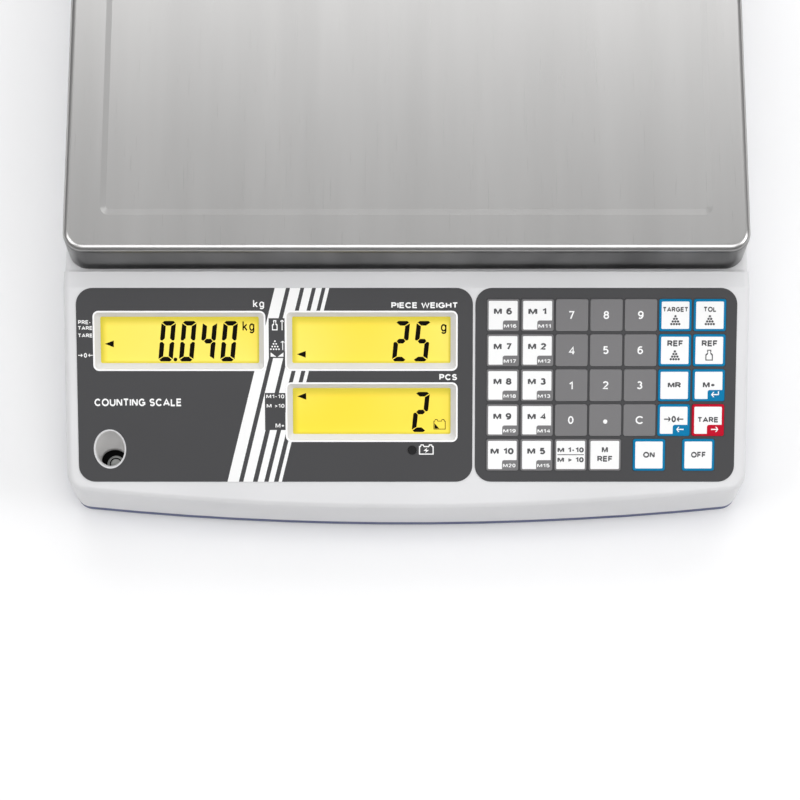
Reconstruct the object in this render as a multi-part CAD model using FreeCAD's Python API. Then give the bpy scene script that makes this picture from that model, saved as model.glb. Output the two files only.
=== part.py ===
import FreeCAD, Part
import os
from math import cos, pi, radians, sin, tan

# Counting scale. Millimetres. X to the right, front at -Y, Z up.
# The origin is on the surface under the feet, at the centre of the housing's outline.

V = FreeCAD.Vector

# ---------------------------------------------------------------- driving dimensions

WIDTH = 300.0
DEPTH = 330.0
HEIGHT = 102.8
DECK = 79.44               # front strip of the deck, between the plate and the panel
SEAT = 75.4                # lowered deck under the plate
SEAT_FRONT_Y = -68.2       # step between the two
STEP_ROUND = 0.7

SHELL_BOTTOM = 10.5        # parting line between the white shell and the base
BASE_BOTTOM = 4.0          # underside of the base, above the surface
WALL = 3.0                 # shell wall
FLOOR = 2.5                # base floor
BASE_SETBACK = 0.2         # base side, behind the shell side
BASE_LIP = 16.0            # top of the base's inner lip
LIP_WALL = 2.3
FRONT_BOW = 8.0            # how far the front bulges between its corners
CORNER = 8.0               # plan corner radius
EDGE_ROUND = 3.0           # rounding along the top edges

PLATE_GAP = 2.0            # lower edge of the plate above the seat
PLATE_SIZE = (296.4, 223.8)
PLATE_CENTRE_Y = 45.15
PLATE_SHEET = 1.2
PLATE_CORNER = 9.0
PLATE_EDGE = 3.0
EMBOSS_RISE = 0.45
EMBOSS_MARGIN = 16.0
EMBOSS_RAMP = 2.6
EMBOSS_CORNER = 4.0

SLOPE = 25.0               # degrees
SLOPE_START_Y = -76.2      # crease between the deck and the slope

FILM = 0.3                 # thickness of the labels above the panel
LABEL_LENGTH = 86.07
LABEL_CORNER = 7.3
LEFT_LABEL = (-144.4, 29.0)
RIGHT_LABEL = (30.1, 144.4)

WINDOW = (75.6, 26.6)      # mouth of a display recess
GLASS = (69.5, 20.6)       # floor of a display recess
WINDOW_CORNER = 2.6
LCD_THICK = 6.0
WINDOW_CENTRES = ((-99.45, 23.35), (-15.4, 23.3), (-15.3, 54.95))

KEY = 14.2
KEY_PITCH = (15.05, 15.51)
KEY_FIRST = (35.1, 4.85)   # left and top side of the first key
KEY_CORNER = 1.0
KEY_GAP = 0.1
KEY_RISE = 0.35            # key top above the label
KEY_BODY = 1.4
KEYPAD_DEPTH = 1.7         # recess for the keypad laminate
KEYPAD_BACK = 0.4
ON_CENTRE = 106.8
OFF_CENTRE = 128.5

LEVEL_CENTRE = (-130.6, 71.4)
LEVEL_HOLE = (12.95, 16.2)
LEVEL_LABEL_HOLE = (14.35, 17.6)
LEVEL_WINDOW = (1.4, 0.2)  # underside and top of the clear window, below the panel
LEVEL_FLOOR = 31.0
VIAL_RADIUS = 7.4
VIAL = (33.0, 41.0)

LED_CENTRE = (2.5, 71.9)
LED_RADIUS = 2.0

FOOT_X = 118.0
FOOT_Y = 128.0
SOLE_RADIUS = 15.0
SOLE_TOP = 3.2
WHEEL_RADIUS = 14.0
WHEEL = (3.3, 8.6)
SPIGOT_RADIUS = 6.0
STUD_RADIUS = 4.0
STUD_TOP = 26.0
RUNNING = 0.05             # radial running clearance
POCKET_RADIUS = 17.5
POCKET_ROOF = (9.5, 12.0)

FRAME = (12.0, 15.0)
BOSS_RADIUS = 9.0
CELL = (40.0, 130.0, 22.0)
CELL_BOTTOM = 35.5
CELL_FOOT = 30.0           # length of the cell that is clamped at each end

CARRIER = (236.0, 168.0)
CARRIER_DECK = (80.0, 84.0)
CARRIER_RIB_TOP = 91.0
PAD_BOTTOM = 97.4
PAD_X = 105.0
PAD_Y = 71.0
PAD_RADIUS = 8.0

BATTERY = (70.0, 101.0, 47.0)
BATTERY_CENTRE = (-92.0, 30.5)
COVER_MARGIN = (4.8, 4.3)  # battery cover beyond the battery
COVER_LEDGE = 4.0

SCREW_PLACES = [(side * 142.0, y) for side in (-1, 1) for y in (-122.0, 20.0, 140.0)]
SCREW_RADIUS = 1.9
COLUMN_RADIUS = 5.2
SOCKET_X = 95.0
SOCKET_Z = 27.0

CELL_BACK = PLATE_CENTRE_Y + CELL[1] / 2
CELL_FRONT = PLATE_CENTRE_Y - CELL[1] / 2
CELL_TOP = CELL_BOTTOM + CELL[2]
PANEL = FreeCAD.Placement(V(0, SLOPE_START_Y, DECK), FreeCAD.Rotation(V(1, 0, 0), SLOPE))


# ---------------------------------------------------------------- helpers

def save(name, shape):
    """Write one sub-part."""
    shape.exportStep("parts/%s.step" % name)


def box(x0, x1, y0, y1, z0, z1):
    return Part.makeBox(x1 - x0, y1 - y0, z1 - z0, V(x0, y0, z0))


def post(x, y, z0, z1, radius):
    return Part.makeCylinder(radius, z1 - z0, V(x, y, z0))


def rounded_wire(x0, x1, y0, y1, z, radius):
    """Closed rectangle with round corners, in a level plane."""
    k = radius * (1 - cos(pi / 4))
    corners = ((x1, y0, -1, 1), (x1, y1, -1, -1), (x0, y1, 1, -1), (x0, y0, 1, 1))
    arcs = []
    for x, y, sx, sy in corners:
        along_x = V(x + sx * radius, y, z)
        along_y = V(x, y + sy * radius, z)
        middle = V(x + sx * k, y + sy * k, z)
        ends = (along_x, along_y) if sx * sy < 0 else (along_y, along_x)
        arcs.append((ends[0], middle, ends[1]))
    edges = []
    for i, (start, middle, end) in enumerate(arcs):
        edges.append(Part.Arc(start, middle, end).toShape())
        edges.append(Part.makeLine(end, arcs[(i + 1) % 4][0]))
    return Part.Wire(edges)


def slab(x0, x1, y0, y1, z0, z1, radius):
    """Plate with round corners in plan."""
    face = Part.Face(rounded_wire(x0, x1, y0, y1, z0, radius))
    return face.extrude(V(0, 0, z1 - z0))


def taper(x0, x1, y0, y1, z0, z1, radius, inset):
    """Rounded plate whose sides lean in by inset from z0 to z1."""
    low = rounded_wire(x0, x1, y0, y1, z0, radius)
    top_radius = max(radius - inset, 0.4)
    top = rounded_wire(x0 + inset, x1 - inset, y0 + inset, y1 - inset, z1, top_radius)
    return Part.makeLoft([low, top], True)


def centred(centre, size):
    """x0, x1, y0, y1 of a rectangle on the panel: u to the right, v down the slope."""
    u, v = centre
    return u - size[0] / 2, u + size[0] / 2, -v - size[1] / 2, -v + size[1] / 2


def on_panel(shape):
    """Move a shape from panel axes (u, up the slope, outward) to its place."""
    placed = shape.copy()
    placed.Placement = PANEL.multiply(placed.Placement)
    return placed


def oval(centre, size, z0, z1):
    """Upright oval column on the panel."""
    column = Part.makeCylinder(1.0, z1 - z0)
    stretch = FreeCAD.Matrix()
    stretch.A11 = size[0] / 2
    stretch.A22 = size[1] / 2
    column = column.transformGeometry(stretch)
    column.translate(V(centre[0], -centre[1], z0))
    return column


def cut_all(shape, tools):
    for tool in tools:
        shape = shape.cut(tool)
    return shape


def fuse_all(shapes):
    whole = shapes[0]
    for extra in shapes[1:]:
        whole = whole.fuse(extra)
    return whole.removeSplitter()


def upright_edges(shape):
    """Edges that run straight up."""
    found = []
    for edge in shape.Edges:
        a = edge.Vertexes[0].Point
        b = edge.Vertexes[-1].Point
        if abs(a.x - b.x) + abs(a.y - b.y) < 1e-6:
            found.append(edge)
    return found


def face_edges(shape, normals):
    """Edges of the flat faces that look along one of the normals."""
    found = {}
    for face in shape.Faces:
        outward = face.normalAt(0, 0)
        if any((outward - n).Length < 1e-4 for n in normals):
            for edge in face.Edges:
                found[edge.hashCode()] = edge
    return list(found.values())


def one_solid(shape):
    """The single solid inside a compound."""
    return shape.Solids[0] if len(shape.Solids) == 1 else shape


# ---------------------------------------------------------------- housing form

def bowed_prism(inset, z0, z1, corner):
    """Outline of the scale with its bowed front, extruded."""
    x = WIDTH / 2 - inset
    back = DEPTH / 2 - inset
    front = inset - DEPTH / 2
    shoulder = front + FRONT_BOW
    edges = [
        Part.Arc(V(-x, shoulder, z0), V(0, front, z0), V(x, shoulder, z0)).toShape(),
        Part.makeLine(V(x, shoulder, z0), V(x, back, z0)),
        Part.makeLine(V(x, back, z0), V(-x, back, z0)),
        Part.makeLine(V(-x, back, z0), V(-x, shoulder, z0)),
    ]
    prism = Part.Face(Part.Wire(edges)).extrude(V(0, 0, z1 - z0))
    return prism.makeFillet(corner, upright_edges(prism))


def housing_form(inset, z0, corner, rounding):
    """Outer form shrunk by inset: sloped front block and lower seat, with rounded top edges."""
    outward = V(0, -sin(radians(SLOPE)), cos(radians(SLOPE)))
    above = on_panel(Part.makeBox(2 * WIDTH, 2 * DEPTH, WIDTH, V(-WIDTH, -DEPTH, -inset)))
    front = one_solid(bowed_prism(inset, z0, DECK - inset, corner).cut(above))
    seat = bowed_prism(inset, z0, SEAT - inset, corner)
    if rounding:
        front = front.makeFillet(rounding, face_edges(front, (V(0, 0, 1), outward)))
        seat = seat.makeFillet(rounding, face_edges(seat, (V(0, 0, 1),)))
    step = SEAT_FRONT_Y - inset
    front = front.common(box(-WIDTH, WIDTH, -DEPTH, step, 0, HEIGHT))
    seat = seat.common(box(-WIDTH, WIDTH, step - WALL, DEPTH, 0, HEIGHT))
    return one_solid(fuse_all([front, seat]))


def step_rounding():
    """Sliver that rounds the upper edge of the step in the deck when it is cut away."""
    y = SEAT_FRONT_Y - STEP_ROUND
    z = DECK - STEP_ROUND
    corner = box(-WIDTH, WIDTH, y, y + 2 * STEP_ROUND, z, z + 2 * STEP_ROUND)
    return corner.cut(Part.makeCylinder(STEP_ROUND, 2 * WIDTH, V(-WIDTH, y, z), V(1, 0, 0)))


def upper_housing():
    """White shell: deck, sloped panel with its recesses, screw columns and level cup."""
    form = housing_form(0, SHELL_BOTTOM, CORNER, EDGE_ROUND)
    form = one_solid(form.cut(step_rounding()))
    inner = housing_form(WALL, SHELL_BOTTOM - 5, CORNER - WALL, 0)
    shell = form.cut(inner)

    columns = []
    for x, y in SCREW_PLACES:
        columns.append(post(x, y, POCKET_ROOF[1] + 0.2, DECK, COLUMN_RADIUS))
    for u in (-57.6, 26.8):
        for v in (4.6, 75.0):
            columns.append(on_panel(post(u, -v, -WALL - LCD_THICK, 0, 2.2)))
    level_x, level_y = level_place()
    columns.append(post(level_x, level_y, LEVEL_FLOOR, DECK, VIAL_RADIUS + 1.6))
    inside = [column.common(inner) for column in columns]
    shell = fuse_all([shell] + inside)

    holes = [post(level_x, level_y, VIAL[0], DECK, VIAL_RADIUS + RUNNING).common(inner)]
    for x, y in SCREW_PLACES:
        holes.append(post(x, y, POCKET_ROOF[1], 30, SCREW_RADIUS + RUNNING))
    for centre in WINDOW_CENTRES:
        x0, x1, y0, y1 = centred(centre, WINDOW)
        lean = (WINDOW[0] - GLASS[0]) / 2
        mouth = rounded_wire(x0, x1, y0, y1, 0, WINDOW_CORNER)
        throat = rounded_wire(x0 + lean, x1 - lean, y0 + lean, y1 - lean, -WALL, 0.8)
        holes.append(on_panel(Part.makeLoft([throat, mouth], True)))
        holes.append(on_panel(slab(x0, x1, y0, y1, 0, 5, WINDOW_CORNER)))
    holes.append(on_panel(slab(RIGHT_LABEL[0], RIGHT_LABEL[1], -LABEL_LENGTH, 0,
                               -KEYPAD_DEPTH, 5, LABEL_CORNER)))
    holes.append(on_panel(oval(LEVEL_CENTRE, LEVEL_HOLE, -WALL - 0.5, 5)))
    u, v = LED_CENTRE
    holes.append(on_panel(post(u, -v, -WALL - 1, 5, LED_RADIUS + RUNNING)))
    front, back = hub_span()
    holes.append(box(-26, 26, front - 7, back + 7, SEAT - 10, SEAT + 5))
    barrel = Part.makeCylinder(4.2, 20, V(SOCKET_X, DEPTH / 2 - 10, SOCKET_Z), V(0, 1, 0))
    holes.append(barrel)
    return one_solid(cut_all(shell, holes))


def base_housing():
    """Navy tray: side band, lip inside the shell, foot pockets and battery opening."""
    band = bowed_prism(BASE_SETBACK, BASE_BOTTOM, SHELL_BOTTOM, CORNER - BASE_SETBACK)
    lower = [e for e in band.Edges if e.BoundBox.ZMax < BASE_BOTTOM + 1e-6]
    band = band.makeFillet(1.2, lower)
    lip_outside = WALL + 0.2
    lip = bowed_prism(lip_outside, BASE_BOTTOM + FLOOR, BASE_LIP, CORNER - lip_outside)
    tray = band.fuse(lip)
    lip_inside = lip_outside + LIP_WALL
    hollow = bowed_prism(lip_inside, BASE_BOTTOM + FLOOR, BASE_LIP + 1, CORNER - lip_inside)
    tray = tray.cut(hollow)

    extras = []
    for x, y in foot_places():
        extras.append(post(x, y, BASE_BOTTOM, POCKET_ROOF[1], POCKET_RADIUS + 2.2))
    for x, y in SCREW_PLACES:
        extras.append(post(x, y, BASE_BOTTOM, POCKET_ROOF[1], 4.8))
    x, y = BATTERY_CENTRE
    half_x, half_y = cover_half()
    ledge = COVER_LEDGE + 2
    extras.append(box(x - half_x - ledge, x + half_x + ledge, y - half_y - ledge,
                      y + half_y + ledge, BASE_BOTTOM + FLOOR, BASE_BOTTOM + FLOOR + 2))
    tray = fuse_all([tray] + [extra.common(lip.fuse(band)) for extra in extras])

    holes = []
    for x, y in foot_places():
        holes.append(post(x, y, 0, POCKET_ROOF[0], POCKET_RADIUS))
        holes.append(post(x, y, 0, POCKET_ROOF[1] + 1, STUD_RADIUS + 1.5))
    for x, y in SCREW_PLACES:
        holes.append(post(x, y, 0, BASE_BOTTOM + 3.4, 3.8))
        holes.append(post(x, y, 0, POCKET_ROOF[1] + 1, SCREW_RADIUS + 0.2))
        holes.append(post(x, y, POCKET_ROOF[1], BASE_LIP + 1, COLUMN_RADIUS + 0.3))
    x, y = BATTERY_CENTRE
    gap = 0.2
    holes.append(box(x - half_x - gap, x + half_x + gap, y - half_y - gap, y + half_y + gap,
                     0, BASE_BOTTOM + FLOOR))
    inner_x = half_x - COVER_LEDGE
    inner_y = half_y - COVER_LEDGE
    holes.append(box(x - inner_x, x + inner_x, y - inner_y, y + inner_y, 0, BASE_LIP))
    for cx, cy in cover_screws():
        holes.append(post(cx, cy, 0, BASE_BOTTOM + FLOOR + 3, 1.0 + RUNNING))
    return one_solid(cut_all(tray, holes))


# ---------------------------------------------------------------- places shared by parts

def level_place():
    """Axis of the level's cup, under the middle of its window."""
    u, v = LEVEL_CENTRE
    return u, SLOPE_START_Y - v * cos(radians(SLOPE))


def foot_places():
    return [(sx * FOOT_X, sy * FOOT_Y) for sy in (-1, 1) for sx in (-1, 1)]


def hub_span():
    """Front and back of the carrier's hub, over the free end of the cell."""
    return CELL_FRONT, CELL_FRONT + CELL_FOOT


def cover_half():
    """Half sizes of the battery cover."""
    return BATTERY[0] / 2 + COVER_MARGIN[0], BATTERY[1] / 2 + COVER_MARGIN[1]


def cover_screws():
    x, y = BATTERY_CENTRE
    reach = cover_half()[1] - COVER_LEDGE / 2
    return [(x, y - reach), (x, y + reach)]


# ---------------------------------------------------------------- control panel

def display_overlay():
    """Left label, with the mouths of the three displays, the level and the lamp."""
    u0, u1 = LEFT_LABEL
    film = slab(u0, u1, -LABEL_LENGTH, 0, 0, FILM, LABEL_CORNER)
    for centre in WINDOW_CENTRES:
        x0, x1, y0, y1 = centred(centre, WINDOW)
        film = film.cut(slab(x0, x1, y0, y1, -1, 1, WINDOW_CORNER))
    film = film.cut(oval(LEVEL_CENTRE, LEVEL_LABEL_HOLE, -1, 1))
    u, v = LED_CENTRE
    film = film.cut(post(u, -v, -1, 1, LED_RADIUS + RUNNING))
    return one_solid(on_panel(film))


def key_places():
    """Name, left side and top side of each key, row by row."""
    rows = (
        ("m6", "m1", "7", "8", "9", "target", "tolerance"),
        ("m7", "m2", "4", "5", "6", "reference_count", "reference_weight"),
        ("m8", "m3", "1", "2", "3", "memory_recall", "memory_add"),
        ("m9", "m4", "0", "point", "clear", "zero", "tare"),
        ("m10", "m5", "memory_bank", "memory_reference"),
    )
    places = []
    for row, names in enumerate(rows):
        v = KEY_FIRST[1] + row * KEY_PITCH[1]
        for column, name in enumerate(names):
            places.append((name, KEY_FIRST[0] + column * KEY_PITCH[0], v))
    last = KEY_FIRST[1] + 4 * KEY_PITCH[1]
    places.append(("on", ON_CENTRE - KEY / 2, last))
    places.append(("off", OFF_CENTRE - KEY / 2, last))
    return places


def keypad_overlay():
    """Membrane laminate in the panel's right recess, with one pocket for each key."""
    u0, u1 = RIGHT_LABEL
    sheet = slab(u0, u1, -LABEL_LENGTH, 0, -KEYPAD_DEPTH, FILM, LABEL_CORNER)
    pocket_floor = KEYPAD_BACK - KEYPAD_DEPTH
    pockets = []
    for name, u, v in key_places():
        pockets.append(slab(u - KEY_GAP, u + KEY + KEY_GAP, -v - KEY - KEY_GAP, -v + KEY_GAP,
                            pocket_floor, 1, KEY_CORNER))
    return one_solid(on_panel(sheet.cut(Part.makeCompound(pockets))))


def key_cap(u, v):
    """One key, standing a little proud of the label."""
    top = FILM + KEY_RISE
    cap = slab(u, u + KEY, -v - KEY, -v, top - KEY_BODY, top, KEY_CORNER)
    upper = [e for e in cap.Edges if e.BoundBox.ZMin > top - 1e-6]
    return on_panel(cap.makeFillet(0.3, upper))


def lcd_modules():
    """Three display modules, each glass at the floor of its recess."""
    modules = []
    for centre in WINDOW_CENTRES:
        x0, x1, y0, y1 = centred(centre, (WINDOW[0] + 1.6, WINDOW[1] + 1.6))
        modules.append(on_panel(slab(x0, x1, y0, y1, -WALL - LCD_THICK, -WALL, 1.0)))
    return Part.makeCompound(modules)


def main_board():
    """Circuit board behind the panel, with a few of its tall components."""
    top = -WALL - LCD_THICK
    board = slab(-118, 134, -80, -1, top - 1.6, top, 2)
    parts = [board]
    for u, v, long, wide, tall in ((60, 30, 14, 14, 2.2), (95, 20, 22, 12, 6), (-40, 44, 18, 12, 2.2),
                                   (110, 55, 12, 10, 9), (-80, 55, 24, 9, 3.5)):
        parts.append(box(u, u + long, -v - wide, -v, top - 1.6 - tall, top - 1.6))
    return on_panel(fuse_all(parts))


def charge_led():
    u, v = LED_CENTRE
    dome = post(u, -v, -WALL - 2, FILM + 0.2, LED_RADIUS)
    flange = post(u, -v, -WALL - 2.6, -WALL, LED_RADIUS + 0.8)
    return on_panel(fuse_all([dome, flange]))


def level_vial():
    """Round bubble level standing in its cup, and the clear oval window above it."""
    x, y = level_place()
    vial = post(x, y, VIAL[0], VIAL[1], VIAL_RADIUS)
    rims = [e for e in vial.Edges if len(e.Vertexes) == 1 and e.BoundBox.ZMin > VIAL[1] - 1e-6]
    vial = vial.makeFillet(0.6, rims)
    size = (LEVEL_HOLE[0] - 2 * RUNNING, LEVEL_HOLE[1] - 2 * RUNNING)
    window = on_panel(oval(LEVEL_CENTRE, size, -LEVEL_WINDOW[0], -LEVEL_WINDOW[1]))
    return Part.makeCompound([vial, window])


# ---------------------------------------------------------------- weighing mechanism

def load_cell():
    """Single-point aluminium beam with its two-eyed cut-out."""
    half = CELL[0] / 2
    beam = box(-half, half, CELL_FRONT, CELL_BACK, CELL_BOTTOM, CELL_TOP)
    middle = CELL_BOTTOM + CELL[2] / 2
    eye_reach = 18.0
    eyes = []
    for side in (-1, 1):
        y = PLATE_CENTRE_Y + side * eye_reach
        eyes.append(Part.makeCylinder(8.6, CELL[0] + 2, V(-half - 1, y, middle), V(1, 0, 0)))
    slot = box(-half - 1, half + 1, PLATE_CENTRE_Y - eye_reach, PLATE_CENTRE_Y + eye_reach,
               middle - 3, middle + 3)
    return one_solid(cut_all(beam, eyes + [slot]))


def base_frame():
    """Metal frame: two cross-bars, a spine, four threaded foot bosses and the cell's seat."""
    low, high = FRAME
    bar = 15.0
    spine = 36.0
    parts = [slab(-spine, spine, -FOOT_Y, FOOT_Y, low, high, 2)]
    for sy in (-1, 1):
        y = sy * FOOT_Y
        parts.append(slab(-FOOT_X - 14, FOOT_X + 14, y - bar, y + bar, low, high, 6))
    for x, y in foot_places():
        parts.append(post(x, y, low, STUD_TOP + 1, BOSS_RADIUS))
    half = CELL[0] / 2
    parts.append(box(-half, half, CELL_BACK - CELL_FOOT, CELL_BACK, low, CELL_BOTTOM))
    frame = fuse_all(parts)
    for x, y in foot_places():
        frame = frame.cut(post(x, y, 0, STUD_TOP + 5, STUD_RADIUS + RUNNING))
    return one_solid(frame)


def platform_carrier():
    """Cast spider: hub on the free end of the cell, windowed deck, rim rib and pad posts."""
    half_x = CARRIER[0] / 2
    half_y = CARRIER[1] / 2
    low, high = CARRIER_DECK
    front, back = hub_span()
    rib = 3.0
    deck = slab(-half_x, half_x, PLATE_CENTRE_Y - half_y, PLATE_CENTRE_Y + half_y,
                low, CARRIER_RIB_TOP, 8)
    deck = deck.cut(slab(-half_x + rib, half_x - rib, PLATE_CENTRE_Y - half_y + rib,
                         PLATE_CENTRE_Y + half_y - rib, high, CARRIER_RIB_TOP + 1, 6))
    arm = 30.0
    for side in (-1, 1):
        near = side * arm
        far = side * (half_x - arm)
        deck = deck.cut(slab(min(near, far), max(near, far), PLATE_CENTRE_Y - half_y + arm,
                             PLATE_CENTRE_Y + half_y - arm, low - 1, CARRIER_RIB_TOP, 4))
    parts = [deck, box(-18, 18, front, back, CELL_TOP, high)]
    for x, y in pad_places():
        parts.append(post(x, y, low, PAD_BOTTOM, PAD_RADIUS + 1.5))
    carrier = fuse_all(parts)
    for x, y in pad_places():
        carrier = carrier.cut(post(x, y, PAD_BOTTOM - 6, PAD_BOTTOM + 1, 3.0))
    return one_solid(carrier)


def pad_places():
    return [(sx * PAD_X, PLATE_CENTRE_Y + sy * PAD_Y) for sx in (-1, 1) for sy in (-1, 1)]


def plate_pads():
    """Four rubber pads, each with a stem in its post."""
    pads = []
    for x, y in pad_places():
        disc = post(x, y, PAD_BOTTOM, HEIGHT - PLATE_SHEET, PAD_RADIUS)
        stem = post(x, y, PAD_BOTTOM - 5, PAD_BOTTOM, 3.0 - RUNNING)
        pads.append(fuse_all([disc, stem]))
    return Part.makeCompound(pads)


def plate_form(inset, z0):
    """Plate outside, or its hollow when inset by the sheet thickness."""
    half_x = PLATE_SIZE[0] / 2 - inset
    half_y = PLATE_SIZE[1] / 2 - inset
    rim = HEIGHT - EMBOSS_RISE - inset
    y0 = PLATE_CENTRE_Y - half_y
    y1 = PLATE_CENTRE_Y + half_y
    body = slab(-half_x, half_x, y0, y1, z0, rim, PLATE_CORNER - inset)
    upper = [e for e in body.Edges if e.BoundBox.ZMin > rim - 1e-6]
    body = body.makeFillet(PLATE_EDGE - inset, upper)
    reach = EMBOSS_MARGIN - inset / 4
    pad = taper(-half_x + reach, half_x - reach, y0 + reach, y1 - reach,
                rim, rim + EMBOSS_RISE, EMBOSS_CORNER, EMBOSS_RAMP)
    root = slab(-half_x + reach, half_x - reach, y0 + reach, y1 - reach, rim - 1, rim, EMBOSS_CORNER)
    return fuse_all([body, root, pad])


def weighing_plate():
    """Pressed steel plate with a skirt and a raised middle field."""
    skirt_bottom = SEAT + PLATE_GAP
    outside = plate_form(0, skirt_bottom)
    hollow = plate_form(PLATE_SHEET, skirt_bottom - 5)
    return one_solid(outside.cut(hollow))


# ---------------------------------------------------------------- feet

def foot_sole(x, y):
    """Rubber sole with a socket for the levelling wheel's spigot."""
    sole = post(x, y, 0, SOLE_TOP, SOLE_RADIUS)
    rims = [e for e in sole.Edges if len(e.Vertexes) == 1]
    rims = [e for e in rims if e.BoundBox.ZMax - e.BoundBox.ZMin < 1e-3]
    sole = sole.makeFillet(0.7, rims)
    return sole.cut(post(x, y, 1.2, SOLE_TOP + 1, SPIGOT_RADIUS + RUNNING))


def foot_screw(x, y):
    """Levelling wheel with finger flutes, a spigot below and a threaded stud above."""
    wheel = post(x, y, WHEEL[0], WHEEL[1], WHEEL_RADIUS)
    flutes = 12
    for i in range(flutes):
        turn = 2 * pi * i / flutes
        reach = WHEEL_RADIUS + 1.2
        wheel = wheel.cut(post(x + reach * cos(turn), y + reach * sin(turn), 0, WHEEL[1] + 1, 2.2))
    spigot = post(x, y, 1.3, WHEEL[0], SPIGOT_RADIUS)
    stud = post(x, y, WHEEL[1], STUD_TOP, STUD_RADIUS)
    return fuse_all([wheel, spigot, stud])


# ---------------------------------------------------------------- power, wiring, fasteners

def battery():
    """Sealed lead-acid block with two tab terminals."""
    x, y = BATTERY_CENTRE
    z = BASE_BOTTOM + FLOOR + 0.1
    half_x = BATTERY[0] / 2
    half_y = BATTERY[1] / 2
    block = slab(x - half_x, x + half_x, y - half_y, y + half_y, z, z + BATTERY[2], 2)
    tabs = []
    for side in (-1, 1):
        tab_x = x + side * 22
        tabs.append(box(tab_x - 2.4, tab_x + 2.4, y - half_y + 8, y - half_y + 9,
                        z + BATTERY[2], z + BATTERY[2] + 6))
    return fuse_all([block] + tabs)


def battery_cover():
    """Flat cover in the base, with a finger scoop."""
    x, y = BATTERY_CENTRE
    half_x, half_y = cover_half()
    cover = slab(x - half_x, x + half_x, y - half_y, y + half_y,
                 BASE_BOTTOM, BASE_BOTTOM + FLOOR, 1)
    scoop = box(x + half_x - 8, x + half_x - 3, y - 12, y + 12, BASE_BOTTOM - 1, BASE_BOTTOM + 1.2)
    cover = cover.cut(scoop)
    for cx, cy in cover_screws():
        cover = cover.cut(post(cx, cy, 0, BASE_BOTTOM + 1.2, 2.2))
        cover = cover.cut(post(cx, cy, 0, BASE_BOTTOM + FLOOR + 1, 1.0 + RUNNING))
    return one_solid(cover)


def power_socket():
    """Round power inlet in the back wall."""
    back = DEPTH / 2
    block = box(SOCKET_X - 6, SOCKET_X + 6, back - WALL - 12, back - WALL, SOCKET_Z - 5.5, SOCKET_Z + 5.5)
    barrel = Part.makeCylinder(4.0, WALL - 0.3, V(SOCKET_X, back - WALL, SOCKET_Z), V(0, 1, 0))
    bore = Part.makeCylinder(2.8, 12, V(SOCKET_X, back - 10, SOCKET_Z), V(0, 1, 0))
    pin = Part.makeCylinder(1.05, 8.5, V(SOCKET_X, back - 10.5, SOCKET_Z), V(0, 1, 0))
    return fuse_all([fuse_all([block, barrel]).cut(bore), pin])


def screw(x, y, head_z, head_radius, head_tall, shank_radius, tip_z):
    """Pan-head screw driven upwards, with a cross recess."""
    head = post(x, y, head_z, head_z + head_tall, head_radius)
    arm = head_radius * 0.6
    slot = head_radius * 0.16
    head = head.cut(box(x - arm, x + arm, y - slot, y + slot, head_z - 1, head_z + head_tall / 2))
    head = head.cut(box(x - slot, x + slot, y - arm, y + arm, head_z - 1, head_z + head_tall / 2))
    return fuse_all([head, post(x, y, head_z + head_tall, tip_z, shank_radius)])


def housing_screws():
    """Six case screws and the two screws of the battery cover."""
    screws = []
    for x, y in SCREW_PLACES:
        screws.append(screw(x, y, BASE_BOTTOM + 0.9, 3.5, 2.5, SCREW_RADIUS, 26))
    for x, y in cover_screws():
        screws.append(screw(x, y, BASE_BOTTOM + 0.1, 2.0, 1.1, 1.0, BASE_BOTTOM + FLOOR + 2))
    return Part.makeCompound(screws)


def tube(points, radius):
    """Round lead along straight runs joined by tangent arcs."""
    share = 0.45
    edges = []
    start = points[0]
    for i in range(1, len(points) - 1):
        corner = points[i]
        back = points[i - 1] - corner
        ahead = points[i + 1] - corner
        trim = share * min(back.Length, ahead.Length)
        enter = corner + back.normalize() * trim
        leave = corner + ahead.normalize() * trim
        half_angle = back.getAngle(ahead) / 2
        bend = trim * tan(half_angle)
        bisector = (back + ahead).normalize()
        middle = corner + bisector * (bend / sin(half_angle) - bend)
        edges.append(Part.makeLine(start, enter))
        edges.append(Part.Arc(enter, middle, leave).toShape())
        start = leave
    edges.append(Part.makeLine(start, points[-1]))
    path = Part.Wire(edges)
    heading = points[1] - points[0]
    ring = Part.Wire(Part.makeCircle(radius, points[0], heading))
    return path.makePipeShell([ring], True, False)


def wiring():
    """Lead from the load cell to the main board."""
    board = on_panel(Part.Vertex(44, -38, -WALL - LCD_THICK - 1.6)).Point
    outward = V(0, -sin(radians(SLOPE)), cos(radians(SLOPE)))
    route = [
        V(CELL[0] / 2, 101, 47),
        V(34, 101, 47),
        V(45, 90, 38),
        V(47, 66, 28),
        V(46, 34, 22),
        V(45, 0, 20),
        V(44, -34, 24),
        V(44, -60, 33),
        board - outward * 10,
        board,
    ]
    return tube(route, 1.6)


# ---------------------------------------------------------------- write the sub-parts

os.makedirs("parts", exist_ok=True)

save("upper_housing", upper_housing())
save("base_housing", base_housing())
save("display_overlay", display_overlay())
save("keypad_overlay", keypad_overlay())
save("lcd_modules", lcd_modules())
save("main_board", main_board())
save("charge_led", charge_led())
save("level_vial", level_vial())
save("load_cell", load_cell())
save("base_frame", base_frame())
save("platform_carrier", platform_carrier())
save("plate_pads", plate_pads())
save("weighing_plate", weighing_plate())
save("battery", battery())
save("battery_cover", battery_cover())
save("power_socket", power_socket())
save("housing_screws", housing_screws())
save("wiring", wiring())
for key_name, left, top in key_places():
    save("key_" + key_name, key_cap(left, top))
for corner_name, (foot_x, foot_y) in zip(("front_left", "front_right", "back_left", "back_right"),
                                         foot_places()):
    save("foot_sole_" + corner_name, foot_sole(foot_x, foot_y))
    save("foot_screw_" + corner_name, foot_screw(foot_x, foot_y))
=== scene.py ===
import math

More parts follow.
